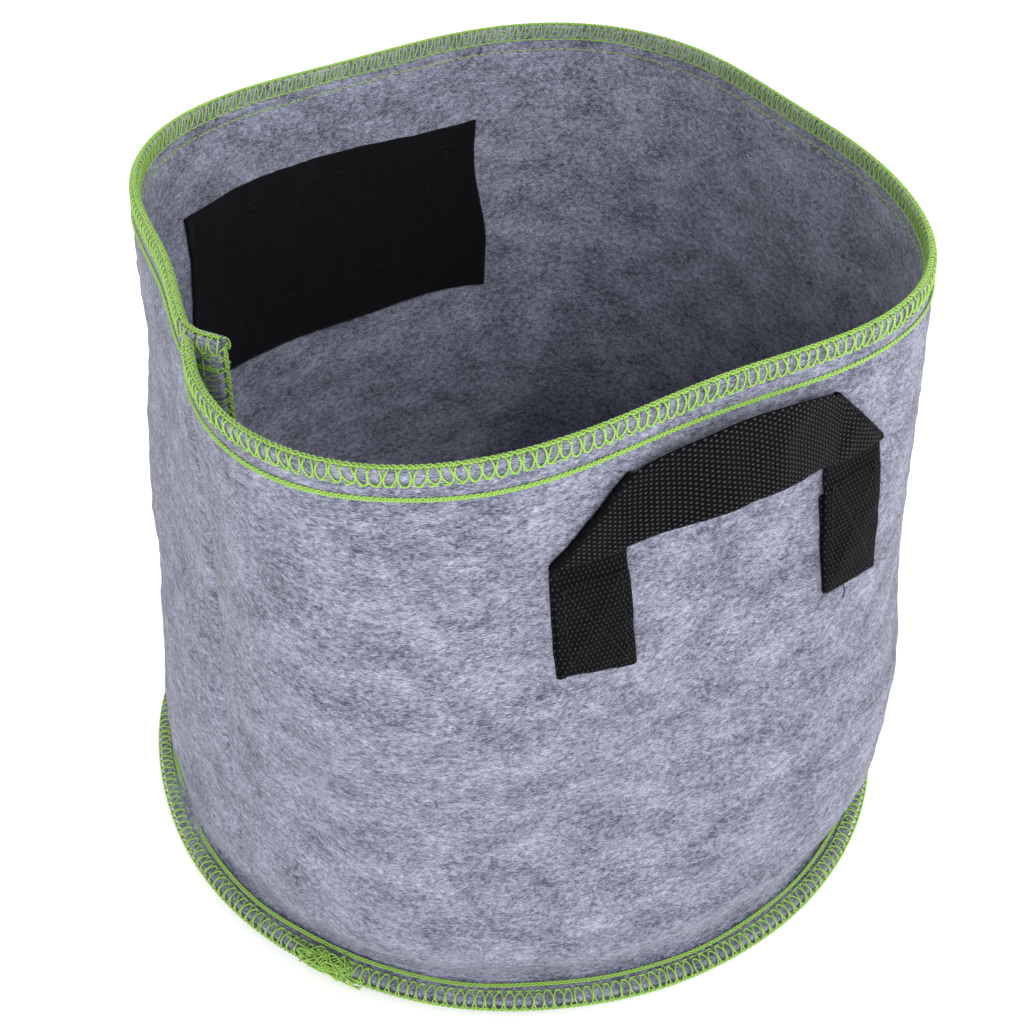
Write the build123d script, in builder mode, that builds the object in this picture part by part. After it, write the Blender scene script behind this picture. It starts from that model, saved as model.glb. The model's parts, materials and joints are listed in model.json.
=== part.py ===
"""Fabric grow bag, cut and sewn from grey felt with green safety-stitch seams and webbing handles.

One felt sheet is rolled into a tube and closed by a side seam whose allowance stands inside.
A felt disc is sewn under the tube, and the seam allowance there stands out as a flange.
Each handle is one strap of webbing: its two ends are sewn flat to the wall over a black patch
inside, and the grip between them is folded over at both corners and bows out from the wall.
Millimetres, +Z up, origin on the floor under the centre of the base, front handle towards -Y.
"""

from build123d import *
from functools import cache
from math import atan2, cos, degrees, hypot, radians, sin
import os

os.makedirs("parts", exist_ok=True)

# Felt
felt = 3.0  # thickness of the sheet
bag_height = 250.0  # top edge of the wall above the floor
base_radius = 147.0  # outer face of the wall where it meets the base
flange_width = 10.0  # seam allowance that stands out round the base
fin_width = 12.0  # seam allowance that stands in at the side seam
seam_gap = 0.2  # between the two plies of the side seam

# The rim of a standing bag is a soft rounded shape. Its radius is a mean plus a few waves:
# how many round the rim, how high in mm, and the direction of the first crest in degrees.
rim_mean_radius = 144.6
rim_waves = (
    (1, 1.8, -103),
    (2, 14.6, 55),
    (3, 2.0, -31),
    (4, 11.2, 41.5),
    (5, 2.1, -3),
    (6, 2.0, -13.5),
)
outline_points = 24
widest_radius = 260.0  # larger than the bag in every direction

# Thread
overlock_width = 5.0  # how far the wrapped stitches reach from an edge
overlock_thick = 0.6
needle_line = 0.9  # width of the line of needle thread along them
nap = 0.25  # the felt's nap holds the thread at the rim this far off
thread_gap = 0.3  # between neighbouring bands of thread
chain_inset = 10.0  # chain stitch from the edge, at the rim
chain_width = 1.4
chain_thick = 0.8
needle_thick = 0.4

# Side seam
seam_angle = -165.5  # direction of the seam, seen from above, from +X
fin_angle = -38.0  # direction in which its allowance stands
side_chain = 5.3  # middle of its chain stitch from the inside of the wall

# Handles, both a little clockwise of the middle of their side
handle_angles = {"front": -94.7, "rear": 93.5}
webbing_width = 25.0
webbing_thick = 1.7
end_angle = 19.1  # each sewn end lies this far round from the middle of the handle
end_length = 46.0  # the sewn part of each end
hinge_height = 203.0  # the grip swings about the tops of the sewn ends
hinge_clearance = 0.15
grip_clearance = 0.35  # between the folded corners and the wall
grip_rise = 5.0  # lowest edge of the grip above the hinge line
grip_arch = 4.0  # rise of its lower edge from corner to middle
grip_bow = 12.0  # finger gap behind the middle of the grip

# Handle stitching and the patches behind it
stitch_inset = 3.0
stitch_width = 0.8
stitch_thick = 0.4
patch_width = 144.0
patch_bottom = 132.0
patch_height = 80.0
patch_thick = 1.0
tail_radius = 0.25  # the thread end left hanging at the front handle
tail_length = 12.0


def rim_radius(angle):
    """Outer radius of the rim in one direction, in degrees from +X."""
    return rim_mean_radius + sum(
        height * cos(radians(count * (angle - crest))) for count, height, crest in rim_waves
    )


def wall_radius(angle, height):
    """Outer radius of the wall, which goes evenly from the round base to the soft rim."""
    share = (height - felt) / (bag_height - felt)
    return base_radius + share * (rim_radius(angle) - base_radius)


def wall_point(angle, height, offset=0.0):
    """A point that lies offset outside the wall's outer face."""
    radius = wall_radius(angle, height) + offset
    return Vector(radius * cos(radians(angle)), radius * sin(radians(angle)), height)


@cache
def wall_body(offset):
    """Solid with the shape of the wall's outer face, grown by offset, from the floor to just over the rim."""
    with BuildPart() as body:
        for height in (0, bag_height + felt):
            with BuildSketch(Plane.XY.offset(height)):
                with BuildLine():
                    steps = [360 * i / outline_points for i in range(outline_points)]
                    points = [wall_point(angle, height, offset) for angle in steps]
                    Spline(*[(p.X, p.Y) for p in points], periodic=True)
                make_face()
        loft(ruled=True)
    return body.part


@cache
def wall_skin(near, far, bottom, top):
    """Layer that follows the wall between two offsets from its outer face and two heights."""
    with BuildPart() as skin:
        add(wall_body(far))
        add(wall_body(near), mode=Mode.SUBTRACT)
        with BuildSketch(Plane.XY.offset(bottom)):
            Circle(widest_radius)
        extrude(amount=top - bottom, mode=Mode.INTERSECT)
    return skin.part


def ring(inner, outer, bottom, top):
    """Flat ring round the base."""
    with BuildPart() as band:
        with BuildSketch(Plane.XY.offset(bottom)):
            Circle(outer)
            Circle(inner, mode=Mode.SUBTRACT)
        extrude(amount=top - bottom)
    return band.part


def save(piece, name):
    piece.part.label = name
    export_step(piece.part, f"parts/{name}.step")


# --- The side seam's plane: its x runs along the allowance, and its y up the seam ---------------

seam_foot = wall_point(seam_angle, 2 * felt, -felt)
seam_head = wall_point(seam_angle, bag_height, -felt)
fin_direction = Vector(cos(radians(fin_angle)), sin(radians(fin_angle)), 0)
seam_plane = Plane(
    origin=seam_foot,
    x_dir=fin_direction,
    z_dir=fin_direction.cross(seam_head - seam_foot),
)
fin_rise = seam_plane.to_local_coords(seam_head)
fin_root = -2 * felt  # far enough back to start inside the wall's thickness


def fin_layer(start, end, near, far, bottom=0.0, top=0.0):
    """Layer along the seam allowance: start to end across its width, near to far from its middle plane."""
    with BuildPart() as layer:
        with BuildSketch(seam_plane.offset(near)):
            with BuildLine():
                low, high = bottom / fin_rise.Y, 1 - top / fin_rise.Y
                Polyline(
                    (start + low * fin_rise.X, low * fin_rise.Y),
                    (end + low * fin_rise.X, low * fin_rise.Y),
                    (end + high * fin_rise.X, high * fin_rise.Y),
                    (start + high * fin_rise.X, high * fin_rise.Y),
                    close=True,
                )
            make_face()
        extrude(amount=far - near)
        with BuildSketch(Plane.XY.offset(2 * felt)):
            Circle(widest_radius)
        extrude(amount=bag_height - 2 * felt, mode=Mode.INTERSECT)
    return layer.part


ply_near, ply_far = seam_gap / 2, seam_gap / 2 + felt
seam_plies = []
for near, far in ((ply_near, ply_far), (-ply_far, -ply_near)):
    with BuildPart() as seam_ply:
        add(fin_layer(fin_root, fin_width, near, far))
        add(wall_body(-felt / 2), mode=Mode.INTERSECT)
    seam_plies.append(seam_ply.part)

# --- Felt ------------------------------------------------------------------------------------

with BuildPart() as wall_panel:
    add(wall_skin(-felt, 0, felt, bag_height))
    for ply in seam_plies:
        add(ply)
    # The two ends of the sheet meet along the seam, so the wall is open there, down to the flange.
    seam_x = Vector(cos(radians(seam_angle)), sin(radians(seam_angle)), 0)
    with BuildSketch(Plane(origin=(0, 0, 0), x_dir=seam_x, z_dir=seam_x.cross(Vector(0, 0, 1)))):
        with BuildLine():
            Polyline(
                (wall_radius(seam_angle, 0) - felt, 0),
                (wall_radius(seam_angle, 2 * bag_height) - felt, 2 * bag_height),
                (widest_radius, 2 * bag_height),
                (widest_radius, 0),
                close=True,
            )
        make_face()
    extrude(amount=seam_gap / 2, both=True, mode=Mode.SUBTRACT)
    add(ring(base_radius - felt / 2, base_radius + flange_width, felt, 2 * felt))
save(wall_panel, "wall_panel")

chain_radius = base_radius + 1.6  # the base's chain stitch runs close to the foot of the wall
under_groove = overlock_thick + 0.1

with BuildPart() as base_disc:
    with BuildSketch():
        Circle(base_radius + flange_width)
    extrude(amount=felt)
    flange_edge = base_radius + flange_width
    add(ring(flange_edge - overlock_width - needle_line, flange_edge, 0, under_groove), mode=Mode.SUBTRACT)
    add(ring(chain_radius - chain_width, chain_radius + chain_width, 0, under_groove), mode=Mode.SUBTRACT)
save(base_disc, "base_disc")

for side, angle in handle_angles.items():
    inside = -felt - patch_thick
    with BuildPart() as patch:
        add(wall_skin(inside, -felt, patch_bottom, patch_bottom + patch_height))
        with BuildSketch(Plane.XZ):
            with Locations((wall_point(angle, patch_bottom).X, bag_height / 2)):
                Rectangle(patch_width, bag_height)
        extrude(amount=widest_radius if side == "front" else -widest_radius, mode=Mode.INTERSECT)
    save(patch, f"{side}_reinforcement_patch")

# --- Green thread: rim -----------------------------------------------------------------------

with BuildPart() as fin_block:
    # Room for the side seam's allowance: the stitches inside the rim stop there, and the crest goes over.
    rim_seam = Plane(origin=seam_head, x_dir=fin_direction, z_dir=(0, 0, 1))
    block_depth = 2 * chain_inset
    with BuildSketch(rim_seam.offset(-block_depth)):
        with Locations(((fin_root + fin_width) / 2, 0)):
            Rectangle(fin_width - fin_root + 2, 2 * (ply_far + chain_thick))
    extrude(amount=block_depth + nap / 2)
crest = bag_height + nap
rim_top = crest + overlock_thick
overlock_low = bag_height - overlock_width
inner_face = -felt - nap
loopers_meet = -felt / 2  # on top of the rim

with BuildPart() as rim_upper_looper:
    add(wall_skin(nap, nap + overlock_thick, overlock_low, rim_top))
    add(wall_skin(loopers_meet + thread_gap / 2, nap, crest, rim_top))
save(rim_upper_looper, "rim_overlock_upper_looper_thread")

with BuildPart() as rim_lower_looper:
    add(wall_skin(inner_face - overlock_thick, inner_face, overlock_low, rim_top))
    add(wall_skin(inner_face, loopers_meet - thread_gap / 2, crest, rim_top))
    add(fin_block.part, mode=Mode.SUBTRACT)
save(rim_lower_looper, "rim_overlock_lower_looper_thread")

needle_top = overlock_low - thread_gap
with BuildPart() as rim_needle:
    add(wall_skin(inner_face - needle_thick, inner_face, needle_top - needle_line, needle_top))
    add(wall_skin(nap, nap + needle_thick, needle_top - needle_line, needle_top))
    add(fin_block.part, mode=Mode.SUBTRACT)
save(rim_needle, "rim_overlock_needle_thread")

chain_height = bag_height - chain_inset
with BuildPart() as rim_chain_looper:
    half = chain_width / 2
    add(wall_skin(nap, nap + chain_thick, chain_height - half, chain_height + half))
save(rim_chain_looper, "rim_chain_looper_thread")

with BuildPart() as rim_chain_needle:
    half = needle_line / 2
    add(wall_skin(inner_face - needle_thick, inner_face, chain_height - half, chain_height + half))
    add(fin_block.part, mode=Mode.SUBTRACT)
save(rim_chain_needle, "rim_chain_needle_thread")

# --- Green thread: side seam -----------------------------------------------------------------

# It stays clear of the patches, the base and the stitches at the rim.
seam_low, seam_top = 2.0, overlock_width + 2.0
wrap = fin_width - overlock_width
side_threads = {
    "side_seam_overlock_upper_looper_thread": (
        (wrap, fin_width + overlock_thick, -ply_far - overlock_thick, -ply_far),
        (fin_width, fin_width + overlock_thick, -ply_far, 0),
    ),
    "side_seam_overlock_lower_looper_thread": (
        (wrap, fin_width + overlock_thick, ply_far, ply_far + overlock_thick),
        (fin_width, fin_width + overlock_thick, 0, ply_far),
    ),
    "side_seam_overlock_needle_thread": (
        (wrap - needle_line, wrap, ply_far, ply_far + needle_thick),
        (wrap - needle_line, wrap, -ply_far - needle_thick, -ply_far),
    ),
    "side_seam_chain_looper_thread": (
        (side_chain - chain_width / 2, side_chain + chain_width / 2, -ply_far - chain_thick, -ply_far),
    ),
    "side_seam_chain_needle_thread": (
        (side_chain - needle_line / 2, side_chain + needle_line / 2, ply_far, ply_far + needle_thick),
    ),
}
for name, layers in side_threads.items():
    with BuildPart() as seam_thread:
        for start, end, near, far in layers:
            add(fin_layer(start, end, near, far, seam_low, seam_top))
    save(seam_thread, name)

# --- Green thread: base seam -----------------------------------------------------------------

flange_top = 2 * felt
lap = flange_edge - overlock_width
under = under_groove - overlock_thick
over = flange_top + overlock_thick

with BuildPart() as base_upper_looper:
    add(ring(lap, flange_edge + overlock_thick, flange_top, over))
    add(ring(flange_edge, flange_edge + overlock_thick, felt, flange_top))
save(base_upper_looper, "base_seam_overlock_upper_looper_thread")

with BuildPart() as base_lower_looper:
    add(ring(lap, flange_edge + overlock_thick, under, under_groove))
    add(ring(flange_edge, flange_edge + overlock_thick, under_groove, felt))
save(base_lower_looper, "base_seam_overlock_lower_looper_thread")

with BuildPart() as base_needle:
    add(ring(lap - needle_line, lap, flange_top, flange_top + needle_thick))
    add(ring(lap - needle_line, lap, under_groove - needle_thick, under_groove))
save(base_needle, "base_seam_overlock_needle_thread")

with BuildPart() as base_chain_looper:
    add(ring(chain_radius, chain_radius + chain_width, flange_top, flange_top + chain_thick))
save(base_chain_looper, "base_seam_chain_looper_thread")

with BuildPart() as base_chain_needle:
    add(ring(chain_radius, chain_radius + needle_line, under_groove - needle_thick, under_groove))
save(base_chain_needle, "base_seam_chain_needle_thread")

# --- Handles ---------------------------------------------------------------------------------


def hinge_line(middle_angle):
    """Ends of the line over the middles of the two sewn ends, left first as seen from outside."""
    offset = webbing_thick + hinge_clearance
    return [wall_point(middle_angle + turn, hinge_height, offset) for turn in (-end_angle, end_angle)]


def grip_outline(half_span, half_width):
    """Face of the grip, up from the hinge line: a bar whose outer corners are cut by the folds."""
    outer, inner = half_span + half_width, half_span - half_width
    low, width = grip_rise, webbing_width
    with BuildSketch() as face:
        with BuildLine():
            Polyline((-inner, low), (-outer, low), (-outer, low + 1), (-inner, low + 1 + width))
            ThreePointArc((-inner, low + 1 + width), (0, low + 1 + width + grip_arch), (inner, low + 1 + width))
            Polyline((inner, low + 1 + width), (outer, low + 1), (outer, low), (inner, low))
            ThreePointArc((inner, low), (0, low + grip_arch), (-inner, low))
        make_face()
    return face.sketch


def box_stitch(width, length):
    """Rectangle of stitches with a cross in it."""
    reach = hypot(width, length)
    with BuildSketch() as box:
        Rectangle(width, length)
        Rectangle(width - 2 * stitch_width, length - 2 * stitch_width, mode=Mode.SUBTRACT)
        for turn in (1, -1):
            Rectangle(stitch_width, reach - 2 * stitch_width, rotation=turn * degrees(atan2(width, length)))
    return box.sketch


for side, middle_angle in handle_angles.items():
    left, right = hinge_line(middle_angle)
    span = (right - left).length
    along = (right - left).normalized()
    face_plane = Plane(origin=(left + right) / 2, x_dir=along, z_dir=along.cross(Vector(0, 0, 1)))
    plan_plane = Plane(origin=(left + right) / 2, x_dir=along, z_dir=Vector(0, 0, 1))
    seen_width = webbing_width * cos(radians(end_angle))
    reach_in, reach_out = 30.0, 30.0

    for place, x in (("left", -span / 2), ("right", span / 2)):
        with BuildPart() as handle_end:
            add(wall_skin(0, webbing_thick, hinge_height - end_length, hinge_height))
            with BuildSketch(face_plane.offset(-reach_in)):
                with Locations((x, -end_length / 2)):
                    Rectangle(seen_width, end_length + 1)
            extrude(amount=reach_in + reach_out, mode=Mode.INTERSECT)
        save(handle_end, f"{side}_handle_{place}_end")

        with BuildPart() as stitching:
            bottom, top = hinge_height - end_length, hinge_height
            add(wall_skin(webbing_thick, webbing_thick + stitch_thick, bottom, top))
            add(wall_skin(-felt - patch_thick - stitch_thick, -felt - patch_thick, bottom, top))
            with BuildSketch(face_plane.offset(-reach_in)):
                with Locations((x, -end_length / 2)):
                    add(box_stitch(seen_width - 2 * stitch_inset, end_length - 2 * stitch_inset))
            extrude(amount=reach_in + reach_out, mode=Mode.INTERSECT)
        save(stitching, f"{side}_handle_{place}_box_stitching")

    half_span, half_width = span / 2, seen_width / 2
    bow_half = half_span - half_width
    corner_out = plan_plane.to_local_coords(wall_point(middle_angle + end_angle, hinge_height + webbing_width))
    middle_out = -plan_plane.to_local_coords(wall_point(middle_angle, hinge_height + webbing_width)).Y
    with BuildPart() as grip:
        # Both corners are two plies of webbing, folded over and lying against the wall.
        add(wall_skin(grip_clearance, grip_clearance + 2 * webbing_thick, hinge_height, bag_height - 1))
        with BuildSketch(plan_plane):
            Rectangle(2 * bow_half, 4 * reach_out)
        extrude(amount=bag_height - hinge_height, mode=Mode.SUBTRACT)
        # Between them a single ply bows out from the wall.
        with BuildSketch(plan_plane):
            with BuildLine():
                start = -corner_out.Y + 5.2
                crown = middle_out + grip_bow + webbing_thick
                outer = ThreePointArc((-bow_half, -start), (0, -crown), (bow_half, -start))
                inner = ThreePointArc(
                    (-bow_half, webbing_thick - start),
                    (0, webbing_thick - crown),
                    (bow_half, webbing_thick - start),
                )
                Line(outer @ 0, inner @ 0)
                Line(outer @ 1, inner @ 1)
            make_face()
        extrude(amount=bag_height - hinge_height)
        with BuildSketch(face_plane.offset(-reach_in)):
            add(grip_outline(half_span, half_width))
        extrude(amount=reach_in + reach_out, mode=Mode.INTERSECT)
    save(grip, f"{side}_handle_grip")

# The thread end hangs from the foot of the front handle's right end, just off the wall.
tail_offset = webbing_thick + stitch_thick
tail_angle = handle_angles["front"] + end_angle
tail_start = wall_point(tail_angle - 2, hinge_height - end_length - 0.2, tail_offset)
tail_end = wall_point(tail_angle + 0.5, hinge_height - end_length - tail_length, tail_offset)
with BuildPart() as thread_tail:
    with BuildLine():
        tail_path = Line(tail_start, tail_end)
    with BuildSketch(Plane(origin=tail_start, z_dir=tail_end - tail_start)):
        Circle(tail_radius)
    sweep(path=tail_path)
save(thread_tail, "front_handle_thread_tail")
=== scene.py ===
"""Looks of the felt grow bag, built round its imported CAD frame. Metres, +Z up, front handle towards -Y."""

import json
import math

import bpy
import numpy as np
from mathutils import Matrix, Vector
from mathutils.bvhtree import BVHTree


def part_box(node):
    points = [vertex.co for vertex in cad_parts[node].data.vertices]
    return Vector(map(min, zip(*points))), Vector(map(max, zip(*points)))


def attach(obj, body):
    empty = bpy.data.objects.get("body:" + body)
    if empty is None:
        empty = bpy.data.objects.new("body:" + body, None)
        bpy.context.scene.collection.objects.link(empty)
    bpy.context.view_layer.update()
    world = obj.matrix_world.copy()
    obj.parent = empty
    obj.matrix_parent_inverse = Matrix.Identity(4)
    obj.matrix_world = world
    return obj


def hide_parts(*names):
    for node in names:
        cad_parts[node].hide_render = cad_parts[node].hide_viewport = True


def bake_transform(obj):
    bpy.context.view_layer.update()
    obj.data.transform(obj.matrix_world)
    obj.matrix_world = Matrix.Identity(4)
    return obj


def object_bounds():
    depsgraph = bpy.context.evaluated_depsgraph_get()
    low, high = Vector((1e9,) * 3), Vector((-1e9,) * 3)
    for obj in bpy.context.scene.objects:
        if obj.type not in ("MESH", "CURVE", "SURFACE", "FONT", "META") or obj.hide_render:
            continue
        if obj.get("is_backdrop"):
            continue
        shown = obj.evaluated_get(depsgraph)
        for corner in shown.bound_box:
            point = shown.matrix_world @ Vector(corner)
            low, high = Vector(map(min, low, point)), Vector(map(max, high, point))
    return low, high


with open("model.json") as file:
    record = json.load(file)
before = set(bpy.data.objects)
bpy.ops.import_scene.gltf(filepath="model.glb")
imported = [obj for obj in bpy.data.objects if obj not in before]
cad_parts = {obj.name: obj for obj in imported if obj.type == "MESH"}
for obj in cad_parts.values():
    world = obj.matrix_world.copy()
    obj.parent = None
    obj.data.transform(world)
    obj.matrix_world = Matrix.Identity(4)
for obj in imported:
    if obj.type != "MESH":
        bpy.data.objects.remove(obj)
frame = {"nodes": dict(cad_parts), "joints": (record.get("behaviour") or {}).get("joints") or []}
cad_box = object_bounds()

MM = 0.001
TAU = 2 * math.pi

# ---------------------------------------------------------------------------- camera

camera = bpy.data.objects.new("camera", bpy.data.cameras.new("camera"))
bpy.context.scene.collection.objects.link(camera)
camera.location = (-0.2536, -0.4105, 0.4703)
camera.rotation_euler = Vector((0.4195, 0.6819, -0.5991)).to_track_quat("-Z", "Y").to_euler()
camera.data.sensor_width = 36
camera.data.lens = 52.73
camera.data.clip_start = 0.01
bpy.context.scene.camera = camera
bpy.context.scene.view_settings.view_transform = "Standard"

# ---------------------------------------------------------------------------- small maths


def smooth(x, low, high):
    t = np.clip((np.asarray(x, float) - low) / (high - low), 0, 1)
    return t * t * (3 - 2 * t)


def bump(x, width):
    """Bell curve, 1 at 0."""
    return np.exp(-((np.asarray(x, float) / width) ** 2))


def unit(v):
    return v / np.maximum(np.linalg.norm(v, axis=-1, keepdims=True), 1e-12)


def rotate(v, degrees):
    c, s = math.cos(math.radians(degrees)), math.sin(math.radians(degrees))
    return np.array([c * v[0] - s * v[1], s * v[0] + c * v[1], v[2]])


def lumps(u, v, scale, count, seed):
    """Soft random waves over u and v, of about unit height, none shorter than scale."""
    draw = np.random.default_rng(seed)
    total = 0
    for _ in range(count):
        turn, phase = draw.uniform(0, TAU, 2)
        length = scale * draw.uniform(1, 2.6)
        total = total + np.cos(TAU / length * (u * math.cos(turn) + v * math.sin(turn)) + phase)
    return total / math.sqrt(count / 2)


# ---------------------------------------------------------------------------- meshes


def mesh_object(name, verts, faces, uv=None, material=None):
    """A mesh piece that faces outwards. A face is 4 vertex numbers, and a triangle repeats its third."""
    faces = np.asarray(faces)
    verts = np.asarray(verts, float)
    triangle = faces[:, 2] == faces[:, 3]
    counts = np.where(triangle, 3, 4)
    a, b, c, d = (verts[faces[:, k]] for k in range(4))
    volume = (np.cross(a, b) * c).sum() + np.where(triangle, 0, (np.cross(a, c) * d).sum(-1)).sum()
    keep = np.ones(faces.shape, bool)
    keep[:, 3] = ~triangle
    if volume < 0:
        faces = faces[:, ::-1]
        keep = keep[:, ::-1]
    loops = faces[keep]
    mesh = bpy.data.meshes.new(name)
    mesh.vertices.add(len(verts))
    mesh.vertices.foreach_set("co", verts.astype(np.float32).ravel())
    mesh.loops.add(len(loops))
    mesh.loops.foreach_set("vertex_index", loops.astype(np.int32))
    mesh.polygons.add(len(faces))
    starts = np.concatenate([[0], np.cumsum(counts)[:-1]])
    mesh.polygons.foreach_set("loop_start", starts.astype(np.int32))
    mesh.update(calc_edges=True)
    mesh.validate()
    mesh.polygons.foreach_set("use_smooth", np.ones(len(mesh.polygons), bool))
    if uv is not None:
        index = np.zeros(len(mesh.loops), np.int32)
        mesh.loops.foreach_get("vertex_index", index)
        layer = mesh.uv_layers.new(name="UVMap")
        layer.data.foreach_set("uv", np.asarray(uv, float)[index].astype(np.float32).ravel())
    obj = bpy.data.objects.new(name, mesh)
    bpy.context.scene.collection.objects.link(obj)
    if material:
        mesh.materials.append(material)
    return obj


def grid_normals(points, around=False):
    if around:
        wrapped = np.concatenate([points[:, -1:], points, points[:, :1]], axis=1)
        along_u = (wrapped[:, 2:] - wrapped[:, :-2]) / 2
    else:
        along_u = np.gradient(points, axis=1)
    return unit(np.cross(along_u, np.gradient(points, axis=0)))


def sheet_mesh(points, thick, uv, normals=None, cells=None, around=False):
    """Closed skin round a grid of middle points. cells says which cells of the grid have cloth."""
    rows, cols = points.shape[:2]
    if normals is None:
        normals = grid_normals(points, around)
    if cells is None:
        cells = np.ones((rows - 1, cols if around else cols - 1), bool)
    half = (np.broadcast_to(thick, (rows, cols)) / 2)[..., None] * normals
    number = np.arange(rows * cols).reshape(rows, cols)
    low, high = number[:-1], number[1:]
    if around:
        right = np.roll(number, -1, axis=1)
        a, b, c, d = low, right[:-1], right[1:], high
    else:
        a, b, c, d = low[:, :-1], low[:, 1:], high[:, 1:], high[:, :-1]
    quads = np.stack([a[cells], b[cells], c[cells], d[cells]], axis=1)
    size = rows * cols
    edges = np.concatenate([quads[:, [0, 1]], quads[:, [1, 2]], quads[:, [2, 3]], quads[:, [3, 0]]])
    key = edges[:, 0] * size + edges[:, 1]
    back = edges[:, 1] * size + edges[:, 0]
    rim = edges[~np.isin(key, back)]
    sides = np.stack([rim[:, 1], rim[:, 0], rim[:, 0] + size, rim[:, 1] + size], axis=1)
    faces = np.concatenate([quads, quads[:, ::-1] + size, sides])
    verts = np.concatenate([(points + half).reshape(-1, 3), (points - half).reshape(-1, 3)])
    uv = np.concatenate([uv.reshape(-1, 2)] * 2)
    used = np.unique(faces)
    renumber = np.full(2 * size, -1)
    renumber[used] = np.arange(len(used))
    return verts[used], renumber[faces], uv[used]


def tube_mesh(path, radius, sides=6, closed=False):
    """Round thread along a path, with rounded ends if it is open."""
    path = np.asarray(path, float)
    if closed:
        tangent = unit(np.roll(path, -1, axis=0) - np.roll(path, 1, axis=0))
    else:
        tangent = unit(np.gradient(path, axis=0))
    side = np.zeros_like(path)
    across = np.cross(tangent[0], (0.31, 0.2, 0.93))
    for i, t in enumerate(tangent):
        across = across - t * across.dot(t)
        across = across / max(np.linalg.norm(across), 1e-12)
        side[i] = across
    other = np.cross(tangent, side)
    count = len(path)
    radius = np.broadcast_to(radius, (count,)).copy()
    if not closed:
        radius[[0, -1]] *= 0.55
    angle = np.arange(sides) * TAU / sides
    ring = side[:, None] * np.cos(angle)[None, :, None] + other[:, None] * np.sin(angle)[None, :, None]
    verts = (path[:, None] + ring * radius[:, None, None]).reshape(-1, 3)
    number = np.arange(count * sides).reshape(count, sides)
    after = np.roll(number, -1, axis=0) if closed else number[1:]
    before = number if closed else number[:-1]
    a, b = before, np.roll(before, -1, axis=1)
    c, d = np.roll(after, -1, axis=1), after
    faces = np.stack([a, b, c, d], axis=-1).reshape(-1, 4)
    length = np.concatenate([[0], np.cumsum(np.linalg.norm(np.diff(path, axis=0), axis=1))])
    uv = np.stack([np.repeat(length, sides), np.tile(angle / TAU, count)], axis=1)
    if not closed:
        over = 0.6 * radius[[0, -1], None] * tangent[[0, -1]]
        tips = path[[0, -1]] + over * np.array([[-1], [1]])
        verts = np.concatenate([verts, tips])
        uv = np.concatenate([uv, [[length[0], 0], [length[-1], 0]]])
        first, last = number[0], number[-1]
        for tip, ends in ((count * sides, first[::-1]), (count * sides + 1, last)):
            fan = np.stack([ends, np.roll(ends, -1), np.full(sides, tip), np.full(sides, tip)], axis=1)
            faces = np.concatenate([faces, fan])
    return verts, faces, uv


def joined(meshes):
    verts, faces, uvs, base = [], [], [], 0
    for v, f, uv in meshes:
        verts.append(v)
        faces.append(f + base)
        uvs.append(uv)
        base += len(v)
    return np.concatenate(verts), np.concatenate(faces), np.concatenate(uvs)


# ---------------------------------------------------------------------------- materials


class Nodes:
    """Short way to wire a material."""

    def __init__(self, name):
        self.material = bpy.data.materials.new(name)
        self.material.use_nodes = True
        self.tree = self.material.node_tree
        self.shader = self.tree.nodes["Principled BSDF"]
        self.uv = self.add("ShaderNodeUVMap", uv_map="UVMap").outputs[0]

    def add(self, kind, inputs=(), **settings):
        node = self.tree.nodes.new(kind)
        for key, value in settings.items():
            setattr(node, key, value)
        for key, value in dict(inputs).items():
            self.put(node.inputs[key], value)
        return node

    def put(self, socket, value):
        if isinstance(value, bpy.types.NodeSocket):
            self.tree.links.new(value, socket)
        else:
            socket.default_value = value

    def scaled(self, x, y, z=1, turn=0.0, source=None):
        node = self.add("ShaderNodeMapping", {"Vector": source or self.uv})
        node.inputs["Scale"].default_value = (x, y, z)
        node.inputs["Rotation"].default_value = (0, 0, turn)
        return node.outputs[0]

    def noise(self, vector, scale, detail=3, rough=0.5, distortion=0.0):
        node = self.add("ShaderNodeTexNoise", {"Vector": vector, "Scale": scale, "Detail": detail})
        node.inputs["Roughness"].default_value = rough
        node.inputs["Distortion"].default_value = distortion
        return node.outputs["Fac"]

    def math(self, operation, a, b=0.0):
        node = self.add("ShaderNodeMath", operation=operation)
        self.put(node.inputs[0], a)
        self.put(node.inputs[1], b)
        return node.outputs[0]

    def faded(self, value, low, high, first, last):
        """first where value is under low, last where it is over high."""
        node = self.add("ShaderNodeMapRange", {"Value": value, "From Min": low, "From Max": high})
        node.inputs["To Min"].default_value = first
        node.inputs["To Max"].default_value = last
        return node.outputs[0]

    def ramp(self, factor, *stops):
        node = self.add("ShaderNodeValToRGB", {"Fac": factor})
        elements = node.color_ramp.elements
        while len(elements) < len(stops):
            elements.new(0.5)
        for element, (place, color) in zip(elements, stops):
            element.position = place
            element.color = (*color, 1)
        return node.outputs["Color"]

    def mix(self, factor, a, b, blend="MIX"):
        node = self.add("ShaderNodeMix", data_type="RGBA", blend_type=blend)
        self.put(node.inputs[0], factor)
        for socket, value in ((node.inputs[6], a), (node.inputs[7], b)):
            self.put(socket, (*value, 1) if isinstance(value, tuple) else value)
        return node.outputs[2]

    def bump(self, height, strength, distance, normal=None):
        node = self.add("ShaderNodeBump", {"Height": height, "Strength": strength, "Distance": distance})
        if normal:
            self.put(node.inputs["Normal"], normal)
        return node.outputs[0]

    def finish(self, color, rough, normal, sheen=0.0, specular=0.5, sheen_rough=0.5):
        self.put(self.shader.inputs["Base Color"], color)
        self.put(self.shader.inputs["Roughness"], rough)
        self.put(self.shader.inputs["Normal"], normal)
        self.shader.inputs["Sheen Weight"].default_value = sheen
        self.shader.inputs["Sheen Roughness"].default_value = sheen_rough
        self.shader.inputs["Specular IOR Level"].default_value = specular
        return self.material


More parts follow.
